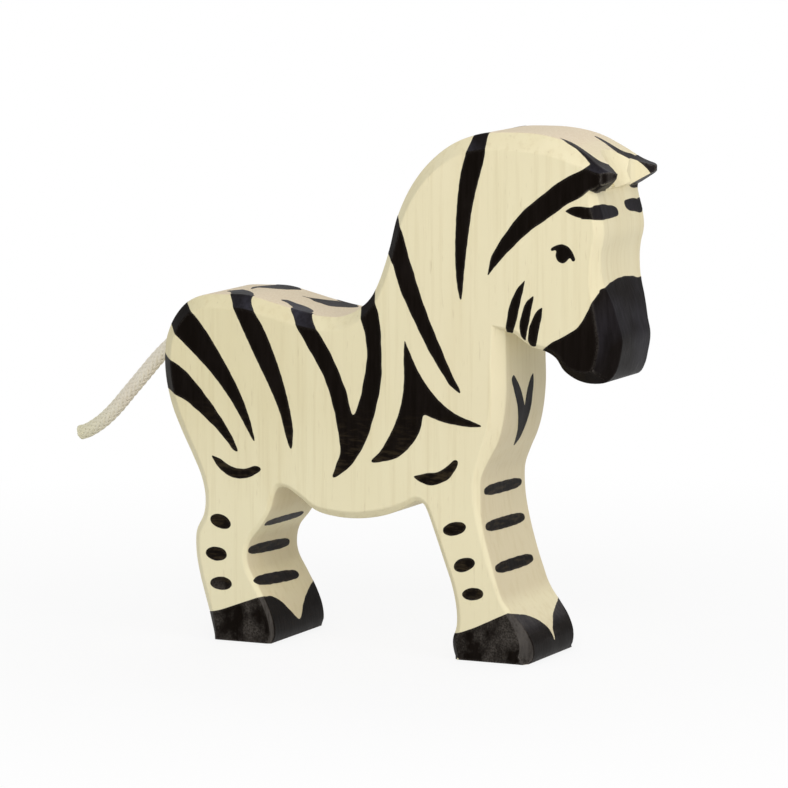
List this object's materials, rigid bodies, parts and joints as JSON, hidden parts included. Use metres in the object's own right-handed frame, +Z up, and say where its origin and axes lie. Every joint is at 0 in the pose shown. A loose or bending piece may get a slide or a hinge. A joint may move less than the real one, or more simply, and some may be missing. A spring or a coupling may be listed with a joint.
{
  "type": "toy wild animal figure",
  "caption": "Wooden zebra figure cut from a thick board, with bevelled edges, black painted stripes and a short braided cord tail.",
  "frame": {"origin": "centre of the standing surface under the wooden body, the cord tail left out", "axes": "+X towards the muzzle, +Y towards the animal's left side, +Z up"},
  "size_m": [0.1541, 0.03, 0.13],
  "materials": {
    "maple_wood": "pale maple, sanded smooth, thin clear matt lacquer",
    "black_paint": "near-black hand-brushed paint with a satin sheen",
    "cotton_cord": "undyed braided cotton",
    "wood_glue": "dried wood glue"
  },
  "bodies": {
    "figure": {"chest_fork": "black_paint", "front_hoof_paint": "black_paint", "front_leg_bar_high": "black_paint", "front_leg_bar_low": "black_paint", "front_leg_bar_middle": "black_paint", "left_brow_mark": "black_paint", "left_cheek_stripe_front": "black_paint", "left_cheek_stripe_middle": "black_paint", "left_cheek_stripe_rear": "black_paint", "left_crest_stripe": "black_paint", "left_ear_stripe": "black_paint", "left_elbow_crease": "black_paint", "left_eye": "black_paint", "left_flank_stripe": "black_paint", "left_front_leg_dab_high": "black_paint", "left_front_leg_dab_low": "black_paint", "left_front_leg_dab_middle": "black_paint", "left_hip_crease": "black_paint", "left_neck_stripe": "black_paint", "left_rear_leg_dab_high": "black_paint", "left_rear_leg_dab_low": "black_paint", "left_rear_leg_dab_middle": "black_paint", "left_rump_stripe_high": "black_paint", "left_rump_stripe_low": "black_paint", "left_saddle_stripe": "black_paint", "left_shoulder_patch": "black_paint", "muzzle_paint": "black_paint", "rear_hoof_paint": "black_paint", "rear_leg_bar_high": "black_paint", "rear_leg_bar_low": "black_paint", "rear_leg_bar_middle": "black_paint", "right_brow_mark": "black_paint", "right_cheek_stripe_front": "black_paint", "right_cheek_stripe_middle": "black_paint", "right_cheek_stripe_rear": "black_paint", "right_crest_stripe": "black_paint", "right_ear_stripe": "black_paint", "right_elbow_crease": "black_paint", "right_eye": "black_paint", "right_flank_stripe": "black_paint", "right_front_leg_dab_high": "black_paint", "right_front_leg_dab_low": "black_paint", "right_front_leg_dab_middle": "black_paint", "right_hip_crease": "black_paint", "right_neck_stripe": "black_paint", "right_rear_leg_dab_high": "black_paint", "right_rear_leg_dab_low": "black_paint", "right_rear_leg_dab_middle": "black_paint", "right_rump_stripe_high": "black_paint", "right_rump_stripe_low": "black_paint", "right_saddle_stripe": "black_paint", "right_shoulder_patch": "black_paint", "tail_glue": "wood_glue", "tail_glued_end": "cotton_cord", "wood_body": "maple_wood"},
    "tail": {"tail_cord": "cotton_cord"}
  },
  "joints": [
    {"name": "tail_sway", "type": "hinge", "parent": "figure", "child": "tail", "pos_m": [-0.0631, 0, 0.0748], "axis": [0, 0, 1], "range_deg": [-30, 30], "stiffness_Nm_per_rad": 0.004}
  ]
}
